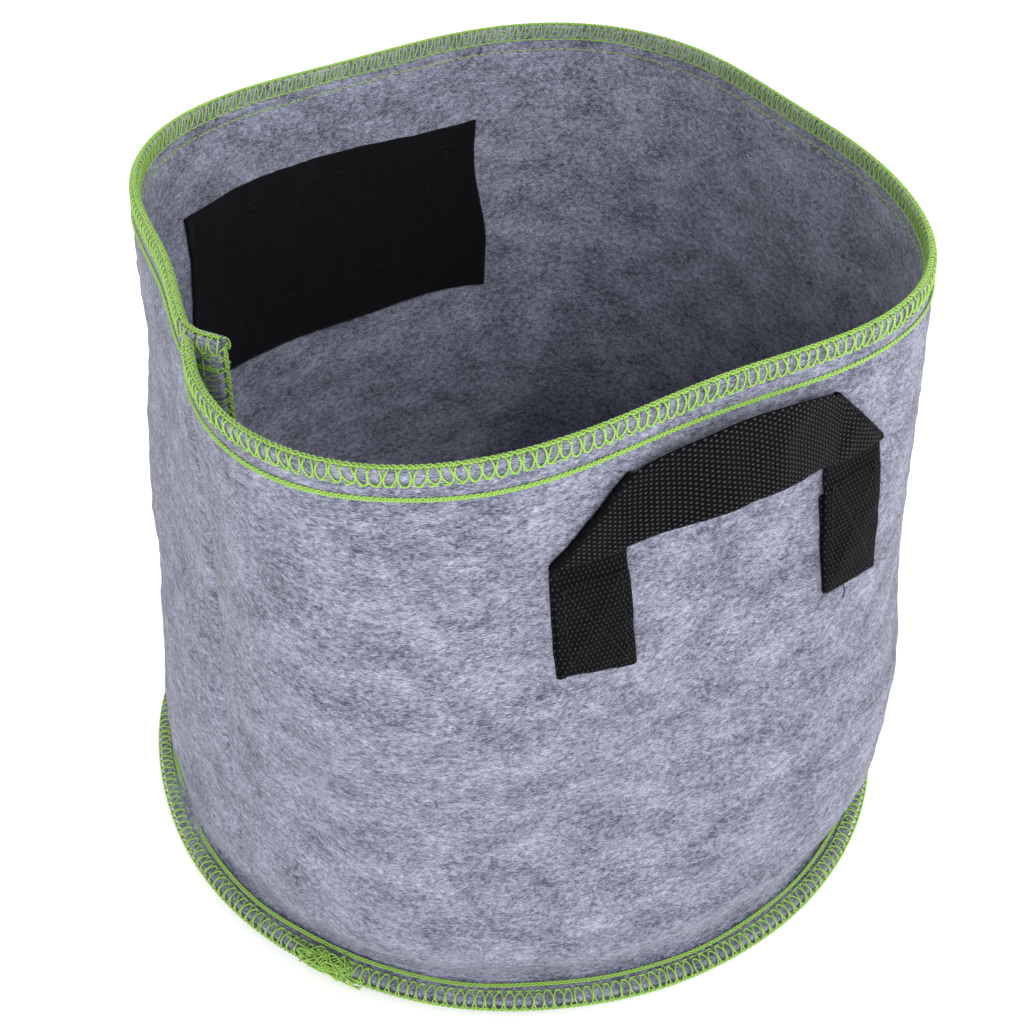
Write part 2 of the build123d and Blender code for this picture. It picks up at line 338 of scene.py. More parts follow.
def felt_material():
    """Heather felt: light and dark fibres needled together, lying mostly round the bag."""
    n = Nodes("grey_felt")
    fibre_sets = []
    for turn, seed in ((0.12, 0.0), (-0.35, 3.1), (0.75, 7.7)):
        lying = n.scaled(760, 2900, turn=turn)
        moved = n.add("ShaderNodeVectorMath", operation="ADD")
        n.put(moved.inputs[0], lying)
        moved.inputs[1].default_value = (seed, seed * 1.7, seed)
        fibre_sets.append(n.noise(moved.outputs[0], 1.0, 3.0, 0.62, 0.6))
    fibres = n.math("ADD", n.math("MULTIPLY", fibre_sets[0], 0.45), n.math("MULTIPLY", fibre_sets[1], 0.32))
    fibres = n.math("ADD", fibres, n.math("MULTIPLY", fibre_sets[2], 0.23))
    clouds = n.noise(n.scaled(1, 1.7, turn=0.2), 300, 6, 0.75, 0.4)
    wide = n.noise(n.scaled(1, 1.5), 48, 3, 0.55)
    tone = n.math("ADD", n.math("MULTIPLY", fibres, 0.65), n.math("MULTIPLY", clouds, 0.35))
    tone = n.math("ADD", tone, n.math("MULTIPLY", n.math("SUBTRACT", wide, 0.5), 0.16))
    color = n.ramp(
        tone,
        (0.4, (0.025, 0.027, 0.04)),
        (0.455, (0.095, 0.1, 0.138)),
        (0.5, (0.19, 0.197, 0.262)),
        (0.545, (0.29, 0.3, 0.385)),
        (0.6, (0.44, 0.455, 0.555)),
    )
    height = n.math("ADD", n.math("MULTIPLY", fibres, 0.7), n.math("MULTIPLY", clouds, 0.5))
    normal = n.bump(height, 0.4, 0.0006)
    return n.finish(color, 0.95, normal, sheen=0.12, specular=0.1, sheen_rough=0.6)


def thread_material(name, light, dark, sheen, specular, rough):
    """Two plies twisted together, seen as slanting dark lines between them: the dark lines are painted shade
    in the grooves and the ply crests are painted lighter as highlight.
    """
    n = Nodes(name)
    spread = n.add("ShaderNodeSeparateXYZ", {"Vector": n.uv})
    along = n.math("MULTIPLY", spread.outputs[0], TAU / (0.9 * MM))
    around = n.math("MULTIPLY", spread.outputs[1], 2 * TAU)
    twist = n.math("SINE", n.math("ADD", along, around))
    ply = n.math("ADD", n.math("MULTIPLY", twist, 0.5), 0.5)
    uneven = n.noise(n.scaled(400, 2), 1.0, 2)
    # Painted shade and highlight: the twist pattern gives the groove between the plies the dark colour and
    # the crest the light one.
    color = n.mix(n.math("MULTIPLY", ply, 0.75), dark, light)
    color = n.mix(n.math("MULTIPLY", uneven, 0.35), color, dark)
    normal = n.bump(ply, 0.5, 0.0002)
    return n.finish(color, rough, normal, sheen=sheen, specular=specular)


def webbing_material():
    """Black polypropylene webbing: picks across the strap, ends along it, over and under each other. The
    bright dots on the raised crossings are painted highlights, faint on the folds and halved on the sewn
    ends.
    """
    n = Nodes("black_webbing")
    spread = n.add("ShaderNodeSeparateXYZ", {"Vector": n.uv})
    across = n.math("MULTIPLY", spread.outputs[0], math.pi / END_PITCH)
    along = n.math("MULTIPLY", spread.outputs[1], math.pi / PICK_PITCH)
    cross = n.math("MULTIPLY", n.math("SINE", across), n.math("SINE", along))
    over = n.math("MAXIMUM", cross, n.math("MULTIPLY", cross, -0.3))
    ridge = n.math("POWER", n.math("ABSOLUTE", n.math("SINE", along)), 3.0)
    # Painted highlight: bright dots where the yarns cross on top.
    painted_highlight_dots = n.math("MULTIPLY", n.math("MAXIMUM", cross, 0.0), ridge)
    fine = n.noise(n.scaled(9000, 1500), 1.0, 2)
    past_fold = n.math("ADD", n.math("ABSOLUTE", spread.outputs[1]), spread.outputs[0])
    past_fold = n.math("SUBTRACT", past_fold, GRIP_HALF + WIDTH / 2 + 3.4 * MM)
    # Masks on the painted highlights: halved past the fold, faint on the fold itself.
    on_end = n.faded(past_fold, 0.0, 2 * MM, 1.0, 0.5)
    off_fold = n.faded(n.math("ABSOLUTE", past_fold), 1.0 * MM, 2.6 * MM, 0.06, 1.0)
    painted_highlight_dots = n.math("MULTIPLY", painted_highlight_dots, n.math("MULTIPLY", on_end, off_fold))
    # The near-black colour is the webbing itself, and the brighter grey on the dots is painted highlight.
    color = n.mix(painted_highlight_dots, (0.0012, 0.0012, 0.0016), (0.09, 0.09, 0.1))
    color = n.mix(n.math("MULTIPLY", fine, 0.05), color, (0.03, 0.03, 0.034))
    height = n.math("ADD", over, n.math("MULTIPLY", fine, 0.2))
    normal = n.bump(height, 0.9, 0.0006)
    return n.finish(color, 0.6, normal, sheen=0.0, specular=0.05)


def patch_material():
    """Thin black nonwoven: faint crossing fibres."""
    n = Nodes("black_patch")
    one = n.noise(n.scaled(500, 2200, turn=0.3), 1.0, 3, 0.6, 0.5)
    two = n.noise(n.scaled(2200, 600, turn=0.2), 1.0, 3, 0.6, 0.5)
    fibres = n.math("ADD", n.math("MULTIPLY", one, 0.5), n.math("MULTIPLY", two, 0.5))
    color = n.ramp(fibres, (0.38, (0.001, 0.001, 0.0016)), (0.62, (0.0065, 0.0065, 0.009)))
    normal = n.bump(fibres, 0.5, 0.0005)
    return n.finish(color, 0.9, normal, sheen=0.04, specular=0.1)


def floor_material():
    n = Nodes("pale_floor")
    texture = n.add("ShaderNodeTexCoord").outputs["Object"]
    grain = n.noise(texture, 60, 2)
    color = n.ramp(grain, (0.3, (0.93, 0.93, 0.93)), (0.7, (0.96, 0.96, 0.96)))
    n.shader.inputs["Emission Color"].default_value = (1, 1, 1, 1)
    n.shader.inputs["Emission Strength"].default_value = 0.3
    return n.finish(color, 0.85, n.bump(grain, 0.02, 0.0005), specular=0.1)


WIDTH = 25 * MM  # of the webbing
END_PITCH = WIDTH / 33  # between its lengthwise yarns
PICK_PITCH = 1.7 * MM  # between its crosswise yarns
GRIP_HALF = (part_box("front_handle_right_end")[0][0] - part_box("front_handle_left_end")[0][0]) / 2
felt = felt_material()
# Each thread's two colours are its painted lit tone and its painted shaded tone, laid along the twist.
green = thread_material("green_thread", (0.58, 0.86, 0.2), (0.17, 0.36, 0.03), 0.15, 0.4, 0.5)
black = thread_material("black_thread", (0.011, 0.011, 0.014), (0.004, 0.004, 0.005), 0.0, 0.2, 0.55)
webbing = webbing_material()
nonwoven = patch_material()

# ---------------------------------------------------------------------------- the wall's shape

FELT = 3 * MM
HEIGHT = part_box("wall_panel")[1][2]
EDGE_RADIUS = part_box("base_disc")[1][0]
SEAM = math.radians(-165.5)
FIN_FOOT, FIN_HEAD = -36.0, -58.0  # where the side seam's allowance points, in degrees
FIN_DEPTH = 12 * MM
PLY_GAP = 1.42 * MM  # from the middle of the allowance to the middle of each ply
WAVES = 8  # of the rim's outline
BEND = 3 * MM  # radius at the foot of the wall
FLANGE_Z = 4.9 * MM  # middle of the flange's upper ply at its edge
FOOT_Z = 6.1 * MM  # and where it turns up
EDGE_WAVE = 0.5 * MM  # how far its edge rises and falls
LOW_BULGE_Z = 38 * MM
MEAN_RADIUS = 145 * MM
SEAM_RADIUS = 139 * MM


def fin_frame(z):
    """Ways along the side seam's allowance and across it, which turn a little from foot to head."""
    angle = FIN_FOOT + (FIN_HEAD - FIN_FOOT) * z / HEIGHT
    return rotate((1, 0, 0), angle), rotate((1, 0, 0), angle + 90)


def mesh_tree(mesh):
    return BVHTree.FromPolygons([v.co for v in mesh.vertices], [tuple(p.vertices) for p in mesh.polygons])


cad_wall = mesh_tree(frame["nodes"]["wall_panel"].data)


def cad_radius(degrees, height):
    """Outer radius of the CAD wall in one direction."""
    way = Vector(rotate((1, 0, 0), degrees))
    hit = cad_wall.ray_cast(way * 0.4 + Vector((0, 0, height)), -way)[0]
    return math.hypot(hit.x, hit.y)


samples = np.array([cad_radius(5 * i, HEIGHT - 0.5 * MM) for i in range(72)])
foot_radius = cad_radius(90, 8 * MM)
spectrum = np.fft.rfft(samples)[:WAVES] / len(samples)


def rim_radius(theta):
    total = spectrum[0].real * np.ones_like(theta)
    for k in range(1, WAVES):
        total = total + 2 * (spectrum[k] * np.exp(1j * k * theta)).real
    return total


def away(theta, degrees):
    """Signed angle from a direction, in degrees."""
    return (np.degrees(theta) - degrees + 180) % 360 - 180


def swell(theta, everywhere, *places):
    """Millimetres of bulge round the bag: each place is its height, direction and width in degrees."""
    return everywhere + sum(height * bump(away(theta, way), width) for height, way, width in places)


def outer_radius(theta, z):
    """Outer face of the wall: the CAD's shape, with the bulges of soft felt."""
    s = z / HEIGHT
    radius = foot_radius + (rim_radius(theta) - foot_radius) * s
    low = (z / LOW_BULGE_Z) * np.exp(1 - z / LOW_BULGE_Z) * smooth(z, 7 * MM, 28 * MM)
    belly = np.sin(math.pi * np.clip(s, 0, 1))
    radius = radius + MM * low * swell(theta, 2.2, (7.5, -42, 38), (3.2, -128, 30), (1.5, 140, 40))
    radius = radius + MM * belly * swell(theta, 0.8, (2.4, -35, 40), (-1.6, -100, 26))
    # A soft fold low on the left, and the pull of the side seam.
    fold = swell(theta, 0, (2.6, -149, 5.5), (-1.56, -139, 6))
    radius = radius - MM * fold * bump(z - 85 * MM, 50 * MM)
    pull = np.exp(-np.abs(away(theta, math.degrees(SEAM))) / 8)
    radius = radius - MM * pull * (1.2 + 3.1 * s)
    calm = smooth(z, 10 * MM, 50 * MM) * (1 - smooth(z, 190 * MM, 245 * MM))
    return radius + 0.9 * MM * lumps(theta * MEAN_RADIUS, z, 75 * MM, 9, 5) * calm


def edge_radius(theta):
    """Edge of the flange, drawn in on the left and on the right where the wall leans over it."""
    return EDGE_RADIUS - MM * swell(theta, 0, (3.4, 168, 26), (3.4, -38, 28))


def flange_wave(theta):
    """Rise and fall of the flange's edge, of about unit height."""
    return 0.6 * np.cos(5 * theta + 0.7) + 0.5 * np.cos(8 * theta + 2.9) + 0.35 * np.cos(13 * theta + 1.2)


def wall_thickness(from_top, from_foot):
    """The felt is pressed thin by the stitches and stands full between them."""
    thick = FELT * np.ones_like(from_top)
    thick = thick - 0.55 * MM * (1 - smooth(from_top, 4.5 * MM, 8 * MM))
    thick = thick - 0.7 * MM * bump(from_top - 10 * MM, 1.3 * MM)
    thick = thick - 0.4 * MM * (1 - smooth(from_foot, 5 * MM, 9 * MM))
    return thick


def wall_sheet():
    """Middle surface of the felt sheet: rows go up it, from the flange's edge to the rim, and columns
    go round it, from the tip of one seam allowance to the tip of the other."""
    heights = np.concatenate(
        [
            FOOT_Z + BEND + np.linspace(0, 1, 14)[:-1] * 20 * MM,
            np.linspace(29.6 * MM, HEIGHT - 17 * MM, 62)[:-1],
            np.linspace(HEIGHT - 17 * MM, HEIGHT - 1.2 * MM, 17),
            HEIGHT - MM * np.array([0.75, 0.4, 0.15, 0]),
        ]
    )
    near = np.concatenate([np.arange(0, 10, 0.9), np.arange(10, 22, 1.5)]) * MM / SEAM_RADIUS
    front_gap, rear_gap = 2.4 * MM / SEAM_RADIUS, 3.4 * MM / SEAM_RADIUS
    first, last = SEAM + front_gap + near, SEAM + TAU - rear_gap - near[::-1]
    theta = np.concatenate([first, np.linspace(first[-1], last[0], 322)[1:-1], last])
    fin_steps = np.linspace(1, 0, 14)
    links = np.linspace(0, 1, 5)[1:-1]

    def ring(z):
        """One row: where the two ends of the sheet meet, they turn in side by side."""

        def mid(t):
            r = outer_radius(t, z) - FELT / 2
            return np.stack([r * np.cos(t), r * np.sin(t), np.full_like(r, z)], axis=-1)

        d, n = fin_frame(z)
        wall = mid(theta)
        root = mid(np.array([SEAM]))[0]
        opened = smooth(z, FOOT_Z + BEND, 20 * MM)
        out = []
        for step, end, sign in ((0.02, wall[0], -1), (-0.02, wall[-1], 1)):
            way = unit(mid(np.array([SEAM + step]))[0] - root)
            turn = root + way * PLY_GAP / max(abs(way.dot(n)), 0.35)
            tip = root + d * FIN_DEPTH + n * sign * PLY_GAP
            straight = turn + (tip - turn) * fin_steps[:, None]
            link = turn + (end - turn) * links[:, None]
            closed = mid(SEAM + np.full(len(fin_steps), 0.0002 * np.sign(step)))
            reach = front_gap if step > 0 else -rear_gap
            closed_link = mid(SEAM + reach * links)
            out.append(
                (closed + (straight - closed) * opened, closed_link + (link - closed_link) * opened)
            )
        (fin_b, link_b), (fin_a, link_a) = out
        row = np.concatenate([fin_b, link_b, wall, link_a[::-1], fin_a[::-1]])
        count = len(fin_b) + len(link_b)
        for _ in range(7):
            softer = row.copy()
            softer[1:-1] = (row[:-2] + 2 * row[1:-1] + row[2:]) / 4
            near_seam = np.zeros(len(row))
            near_seam[4 : count + 9] = 1
            near_seam[-count - 9 : -4] = 1
            row = row + (softer - row) * (near_seam * opened)[:, None]
        return row

    upper = np.array([ring(z) for z in heights])
    # The foot turns out into the flange, whose edge droops towards the floor.
    foot = upper[0].copy()
    level = foot * (1, 1, 0)
    distance = np.linalg.norm(level, axis=1)
    way = level / distance[:, None]
    rows = []
    direction = np.arctan2(way[:, 1], way[:, 0])
    edge = edge_radius(direction) - 0.6 * MM
    for share in np.linspace(0, 1, 9)[:-1]:
        r = edge + (distance + BEND - edge) * share
        z = FLANGE_Z + (FOOT_Z - FLANGE_Z) * share + EDGE_WAVE * (1 - share) * flange_wave(direction)
        rows.append(way * r[:, None] + np.outer(z, (0, 0, 1)))
    for angle in np.linspace(0, math.pi / 2, 6)[:-1]:
        r = distance + BEND - BEND * math.sin(angle)
        z = FOOT_Z + BEND - BEND * math.cos(angle)
        rows.append(way * r[:, None] + (0, 0, z))
    points = np.concatenate([np.array(rows), upper])
    flange_rows = len(rows)
    fin_columns = len(fin_steps)
    cells = np.ones((points.shape[0] - 1, points.shape[1] - 1), bool)
    cells[:flange_rows, : fin_columns - 1] = False
    cells[:flange_rows, 1 - fin_columns :] = False
    steps_v = np.linalg.norm(np.diff(points[:, 200], axis=0), axis=1)
    steps_u = np.linalg.norm(np.diff(points[-1], axis=0), axis=1)
    v = np.concatenate([[0], np.cumsum(steps_v)])
    u = np.concatenate([[0], np.cumsum(steps_u)])
    uu, vv = np.meshgrid(u, v)
    thick = wall_thickness(v[-1] - vv, vv)
    rounding = np.ones_like(thick)
    for i, share in enumerate((0.35, 0.68, 0.86, 0.96)):
        rounding[-1 - i] = share
    rounding[0], rounding[1] = 0.8, 0.95
    rounding[:, 0] = rounding[:, -1] = 0.6
    thick = thick * rounding
    normals = grid_normals(points)
    soft = 0.16 * MM * lumps(uu, vv, 6 * MM, 10, 8) + 0.22 * MM * lumps(uu, vv, 17 * MM, 10, 9)
    quiet = smooth(v[-1] - vv, 9 * MM, 20 * MM) * smooth(vv, 14 * MM, 30 * MM)
    points = points + normals * (soft * quiet)[..., None]
    return points, thick, np.stack([uu, vv], axis=-1), normals, cells, fin_columns, flange_rows


wall_points, wall_thick, wall_uv, wall_normals, wall_cells, FIN_COLUMNS, FLANGE_ROWS = wall_sheet()
wall = mesh_object(
    "felt_wall",
    *sheet_mesh(wall_points, wall_thick, wall_uv, normals=wall_normals, cells=wall_cells),
    material=felt,
)
wall_tree = mesh_tree(wall.data)
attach(wall, "bag")
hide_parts("wall_panel")

# ---------------------------------------------------------------------------- the base


def base_sheet():
    """The round bottom: rings of points out to its edge, closed by a fan of triangles at the middle."""
    radii = np.concatenate([[0.6], np.arange(4, 120, 4), np.linspace(120, 156.2, 22)]) * MM
    columns = 288
    theta = np.arange(columns) * TAU / columns
    rr, tt = np.meshgrid(radii, theta, indexing="ij")
    edge = EDGE_RADIUS - 0.8 * MM
    flange = 148.5 * MM
    lift = smooth(rr, 118 * MM, flange) * 1.7 * MM
    droop = smooth(rr, flange, edge) * 1.2 * MM
    wave = EDGE_WAVE * smooth(rr, flange + 0.5 * MM, edge) * flange_wave(tt)
    inside = 1 - smooth(rr, 125 * MM, 140 * MM)
    z = 1.65 * MM + lift - droop + wave
    z = z + 0.08 * MM * lumps(rr * np.cos(tt), rr * np.sin(tt), 30 * MM, 8, 31) * inside
    rr = rr + (edge_radius(tt) - EDGE_RADIUS) * smooth(rr, 130 * MM, edge)
    points = np.stack([rr * np.cos(tt), rr * np.sin(tt), z], axis=-1)
    thick = np.where(rr > 150 * MM, 2.5, 2.85) * MM
    thick[-1] *= 0.7
    verts, faces, uvs = sheet_mesh(points, thick, points[..., :2], around=True)
    size = len(verts) // 2
    hole = (faces % size < columns).all(axis=1)
    faces = faces[~hole]
    ring = np.arange(columns)
    for base, tip, turned in ((0, 2 * size, True), (size, 2 * size + 1, False)):
        start, end = ring + base, np.roll(ring, -1) + base
        if turned:
            start, end = end, start
        middle = np.full(columns, tip)
        faces = np.concatenate([faces, np.stack([start, end, middle, middle], 1)])
        verts = np.concatenate([verts, [verts[ring + base].mean(axis=0)]])
    return verts, faces, np.concatenate([uvs, np.zeros((2, 2))])


base = mesh_object("felt_base", *base_sheet(), material=felt)
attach(base, "bag")
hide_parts("base_disc")

# ---------------------------------------------------------------------------- seams

PITCH = 3.6 * MM
THREAD = 0.31 * MM  # radius of the upper looper's thread
OVERLOCK = 5.0 * MM  # depth of the overlock below the crest


class Edge:
    """The sewn edge of one or two plies: its crest, the way outwards, and the way down from it."""

    def __init__(self, crest, out, down, half, closed=False):
        if closed:
            crest, out, down, half = (np.concatenate([x, x[:1]]) for x in (crest, out, down, half))
        self.closed = closed
        self.crest, self.out, self.down, self.half = crest, unit(out), unit(down), half
        steps = np.linalg.norm(np.diff(crest, axis=0), axis=1)
        self.place = np.concatenate([[0], np.cumsum(steps)])
        self.length = self.place[-1]
        self.stitches = int(round(self.length / PITCH))
        self.pitch = self.length / self.stitches

    def at(self, s, c, h):
        """Points at distance s along the edge, c across it (outside is +) and h off the felt."""
        s, c, h = np.broadcast_arrays(np.asarray(s, float), c, h)
        s = s % self.length if self.closed else np.clip(s, 0, self.length)

        def read(values):
            if values.ndim == 1:
                return np.interp(s, self.place, values)
            return np.stack([np.interp(s, self.place, values[:, k]) for k in range(3)], axis=-1)

        crest, half = read(self.crest), read(self.half)
        out, down = unit(read(self.out)), unit(read(self.down))
        quarter = half * math.pi / 2
        turn = np.clip(c / half, -math.pi / 2, math.pi / 2)
        past = np.maximum(np.abs(c) - quarter, 0)
        facing = out * np.sin(turn)[..., None] - down * np.cos(turn)[..., None]
        return crest + down * (half + past)[..., None] + facing * (half + h)[..., None]

    def depth(self, distance):
        """c of a line that runs at a distance below the crest."""
        half = float(np.median(self.half))
        return distance - half + half * math.pi / 2


def uneven(edge, amount, seed):
    """One factor near 1 for each stitch."""
    draw = np.random.default_rng(seed)
    return 1 + amount * draw.standard_normal(edge.stitches)


def overlock_loops(edge, side, seed):
    """Loops of the upper looper: open at the crest, round at the needle line."""
    steps = 15
    psi = np.radians(np.linspace(-158, 158, steps))
    low = edge.depth(OVERLOCK)
    top = 0.25 * MM
    wide, deep = uneven(edge, 0.07, seed), uneven(edge, 0.045, seed + 1)
    lean, shift = uneven(edge, 0.12, seed + 2) - 1, uneven(edge, 0.05, seed + 3) - 1
    s, c, h = [], [], []
    for k in range(edge.stitches):
        middle = (k + 0.5 + shift[k]) * edge.pitch
        centre, half = (low * deep[k] + top) / 2, (low * deep[k] - top) / 2
        x = 0.46 * edge.pitch * wide[k] * np.sin(psi) * (1 - 0.12 * np.cos(psi))
        y = centre + half * np.cos(psi)
        s.append(middle + x + lean[k] * (y - centre))
        c.append(side * y)
        h.append(THREAD * (1.0 + 0.5 * np.sin(psi) ** 2))
    return edge.at(np.concatenate(s), np.concatenate(c), np.concatenate(h))


def overlock_wraps(edge, side, seed):
    """Wraps of the lower looper: slanting to and fro between the crest and the needle line."""
    low = edge.depth(OVERLOCK + 0.3 * MM)
    reach = uneven(edge, 0.06, seed)
    t = (np.arange(14) + 0.5) / 14
    wave = np.clip(0.5 - 0.56 * np.cos(TAU * t), 0, 1)
    s, c = [], []
    for k in range(edge.stitches):
        s.append((k + t + 0.45 * wave) * edge.pitch)
        c.append(side * (wave * (low - 0.1 * MM) * reach[k] + 0.1 * MM))
    return edge.at(np.concatenate(s), np.concatenate(c), THREAD * 0.8)


def crest_rope(edge):
    """Where both loopers lock together along the crest."""
    paths = []
    t = np.arange(edge.stitches * 8) / 8
    for phase in (0, math.pi):
        c = 0.42 * MM * np.sin(TAU * t + phase)
        h = THREAD + 0.22 * MM * (1 + np.cos(TAU * t + phase))
        paths.append(edge.at((t + 0.1 * np.sin(3.1 * t)) * edge.pitch, c, h))
    return paths


def dashes(edge, distance, side, seed, share, height):
    """Short stitches of a needle thread that dives into the felt between them."""
    t = np.arange(edge.stitches * 8 + 1) / 8
    lift = np.cos(math.pi * (t % 1 - 0.5) / share)
    h = np.where(lift > 0, height * np.sqrt(np.maximum(lift, 0)), -0.45 * MM)
    wander = 0.12 * MM * lumps(t * edge.pitch, 0, 30 * MM, 4, seed)
    return edge.at(t * edge.pitch, side * (edge.depth(distance) + wander), h)


def chain_braid(edge, distance, side, seed):
    """The chain looper's thread: three strands that lock through each other."""
    paths = []
    t = np.arange(edge.stitches * 12) / 12
    wander = 0.18 * MM * lumps(t * edge.pitch, 0, 40 * MM, 4, seed)
    for phase in (0, TAU / 3, 2 * TAU / 3):
        turn = TAU * t / 1.5 + phase
        c = edge.depth(distance) + 0.5 * MM * np.sin(turn) + wander
        h = 0.22 * MM + 0.22 * MM * (1 + np.sin(2 * turn))
        paths.append(edge.at((t + 0.12 * np.sin(turn)) * edge.pitch, side * c, h))
    return paths


def thread_piece(name, node, paths, radius, sides=6, closed=False, material=green):
    """One piece of thread along all its paths. node is the CAD node that it stands for, if any."""
    tubes = [tube_mesh(path, radius, sides, closed) for path in paths]
    piece = mesh_object(name, *joined(tubes), material=material)
    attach(piece, "bag")
    if node:
        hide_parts(node)


def sew(seam, edge, seed, chain):
    """All five threads of one safety stitch, whose loops show on the outside of the edge."""
    closed = edge.closed
    loops = [overlock_loops(edge, 1, seed), *crest_rope(edge)]
    wraps = [overlock_wraps(edge, -1, seed + 10)]
    needle = [
        dashes(edge, OVERLOCK + 0.05 * MM, 1, seed + 20, 0.6, 0.62 * MM),
        dashes(edge, OVERLOCK + 0.55 * MM, -1, seed + 21, 0.85, 0.55 * MM),
    ]
    chain_loops = chain_braid(edge, chain, 1, seed + 30)
    chain_needle = [dashes(edge, chain, -1, seed + 40, 0.72, 0.3 * MM)]
    overlock = seam + "_overlock_"
    thread_piece(overlock + "loops", overlock + "upper_looper_thread", loops, THREAD, closed=closed)
    thread_piece(overlock + "wraps", overlock + "lower_looper_thread", wraps, 0.26 * MM, closed=closed)
    thread_piece(overlock + "needle", overlock + "needle_thread", needle, 0.27 * MM)
    thread_piece(seam + "_chain_loops", seam + "_chain_looper_thread", chain_loops, 0.29 * MM)
    thread_piece(seam + "_chain_needle", seam + "_chain_needle_thread", chain_needle, 0.23 * MM)


# Rim: from the root of the allowance round the bag, and on over the allowance's top.
top_row = wall_points[-1]
lower_row = wall_points[-14]
first, last = FIN_COLUMNS + 4, -FIN_COLUMNS - 3
rim_crest = top_row[first:last]
rim_down = unit(lower_row[first:last] - rim_crest)
rim_tangent = np.gradient(rim_crest, axis=0)
rim_out = np.cross(rim_tangent, (0, 0, 1))
fin_d, fin_n = fin_frame(HEIGHT)
fin_tip = (top_row[0] + top_row[-1]) / 2
fin_root = fin_tip - fin_d * (FIN_DEPTH + 0.2 * MM)
over_fin = np.array([fin_root + (fin_tip - fin_root) * k for k in np.linspace(0.2, 1.03, 12)])
steps = len(over_fin)
crest = np.concatenate([rim_crest, over_fin])
out = np.concatenate([rim_out, np.tile(-fin_n, (steps, 1))])
down = np.concatenate([rim_down, np.tile((0, 0, -1.0), (steps, 1))])
half = np.concatenate([np.full(len(rim_crest), 1.22 * MM), np.full(steps, 2.75 * MM)])
# Smoothed where the two runs meet.
for _ in range(5):
    for x in (crest, down, out, half):
        x[-22:-1] = x[-22:-1] * 0.5 + (x[-23:-2] + x[-21:][: len(x[-22:-1])]) * 0.25
rim_edge = Edge(crest, out, down, half)
sew("rim", rim_edge, 100, chain=10 * MM)

# Side seam: down the free edge of the allowance.
fin_rows = slice(FLANGE_ROWS + 9, -5)
fin_mid = (wall_points[fin_rows, 0] + wall_points[fin_rows, -1]) / 2
side_ways = [fin_frame(point[2]) for point in fin_mid]
side_out = np.array([n for d, n in side_ways])[::-1]
side_down = -np.array([d for d, n in side_ways])[::-1]
side_crest = fin_mid[::-1] - side_down * 0.3 * MM
side_edge = Edge(side_crest, side_out, side_down, np.full(len(side_crest), 2.7 * MM))
sew("side_seam", side_edge, 200, chain=8.3 * MM)

# Base: round the flange, whose upper ply is the wall sheet and whose lower ply is the base.
around = np.arange(360) * TAU / 360
base_reach = edge_radius(around) + 0.1 * MM
base_z = 3.55 * MM + EDGE_WAVE * flange_wave(around)
base_crest = np.stack([base_reach * np.cos(around), base_reach * np.sin(around), base_z], -1)
inwards = np.stack([-np.cos(around), -np.sin(around), np.zeros(360)], -1)
base_down = unit(inwards + np.array((0, 0, 0.2)))
base_out = unit(np.array((0, 0, 1.0)) - inwards * 0.2)
base_edge = Edge(base_crest, base_out, base_down, np.full(360, 2.45 * MM), closed=True)
sew("base_seam", base_edge, 300, chain=7.3 * MM)

# ---------------------------------------------------------------------------- handles

WEB = 1.4 * MM  # thickness of the webbing
LEG_FOOT = {1: 165.7 * MM, -1: 157.5 * MM}  # the left end is a little shorter than the right one
FOOT_SLANT = {1: 5.5 * MM, -1: 0.0}  # and its foot is folded on a slant
FOLD_Z = 208 * MM
LEAN = 5 * MM  # how far the foot of each sewn end stands to the right of its top
WALL_GAP = 0.15 * MM
INNER_STITCH = -1.15 * MM  # from the wall's inner face to the stitches on the patch
UNDER_ROWS, TURN_ROWS, LEG_ROWS, FOLD_ROWS = 59, 7, 119, 7


def leaning(z):
    return LEAN * np.clip((FOLD_Z - 7 * MM - z) / (44 * MM), 0, 1.2)


class Handle:
    """A place in a handle's own frame: x along the hinge line, y out from it, z up."""

    def __init__(self, joint):
        self.side = joint["name"].split("_")[0]
        self.x = np.array(joint["axis"], float)
        self.y = np.cross(self.x, (0, 0, 1))
        self.origin = np.array(joint["pos_m"], float) * (1, 1, 0)
        self.hinge = joint["pos_m"][2]
        middle = []
        for place in ("left", "right"):
            low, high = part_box(f"{self.side}_handle_{place}_end")
            middle.append(((np.array(low) + np.array(high)) / 2 - self.origin).dot(self.x))
        self.half_span = (max(middle) - min(middle)) / 2

    def world(self, x, y, z):
        level = np.multiply.outer(x, self.x) + np.multiply.outer(y, self.y)
        return self.origin + level + np.multiply.outer(z, (0, 0, 1))

    def wall(self, x, z, inside=False):
        """y of the wall's outer or inner face."""
        x, z = np.broadcast_arrays(np.asarray(x, float), z)
        found = np.zeros(x.shape)
        way = Vector(self.y if inside else -self.y)
        for i in np.ndindex(x.shape):
            start = self.world(x[i], -60 * MM if inside else 60 * MM, z[i])
            hit = wall_tree.ray_cast(Vector(start), way)[0]
            found[i] = (np.array(hit) - self.origin).dot(self.y)
        return found


def on_wall(handle, inside=False):
    """Quick reading of the wall's face behind a handle."""
    xs, zs = np.linspace(-90, 90, 61) * MM, np.linspace(120, 246, 43) * MM
    table = handle.wall(xs[:, None], zs[None, :], inside)

    def read(x, z):
        fx = np.clip((np.asarray(x) - xs[0]) / (xs[1] - xs[0]), 0, len(xs) - 1.001)
        fz = np.clip((np.asarray(z) - zs[0]) / (zs[1] - zs[0]), 0, len(zs) - 1.001)
        i, k = fx.astype(int), fz.astype(int)
        a, b = fx - i, fz - k
        low = table[i, k] * (1 - a) + table[i + 1, k] * a
        high = table[i, k + 1] * (1 - a) + table[i + 1, k + 1] * a
        return low * (1 - b) + high * b

    return read


